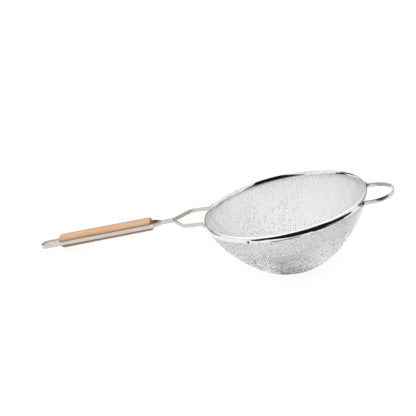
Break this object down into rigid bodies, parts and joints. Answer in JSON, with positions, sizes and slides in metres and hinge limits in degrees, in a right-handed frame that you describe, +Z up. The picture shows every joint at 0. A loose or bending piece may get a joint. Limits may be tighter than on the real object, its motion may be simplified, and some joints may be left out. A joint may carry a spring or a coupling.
{
  "type": "double mesh strainer",
  "caption": "Round-bottomed wire strainer with a fine mesh bowl backed by a coarse one, a rolled steel rim, a front rest loop and a strap handle with a wooden grip and hanging loop.",
  "frame": {"origin": "on the table, under the middle of the whole strainer, with the strainer lying on its bowl and its hanging loop", "axes": "+X from the hanging loop to the front loop, +Z up from the table, the strainer symmetric across the XZ plane"},
  "size_m": [0.568, 0.26, 0.1509],
  "materials": {
    "coarse_wire": "tinned woven wire, dull grey",
    "fine_wire": "tinned fine woven wire, pale grey",
    "rim_steel": "bright rolled tinned sheet, mirror-like",
    "strap_steel": "satin tinned strap",
    "beech": "bare turned beech, matt"
  },
  "bodies": {
    "root": {"coarse_mesh": "coarse_wire", "fine_mesh": "fine_wire", "rim_core_wire": "strap_steel", "rim_band": "rim_steel", "handle_strap": "strap_steel", "wood_grip": "beech", "neck_rivet": "strap_steel", "front_loop": "strap_steel"}
  },
  "joints": []
}
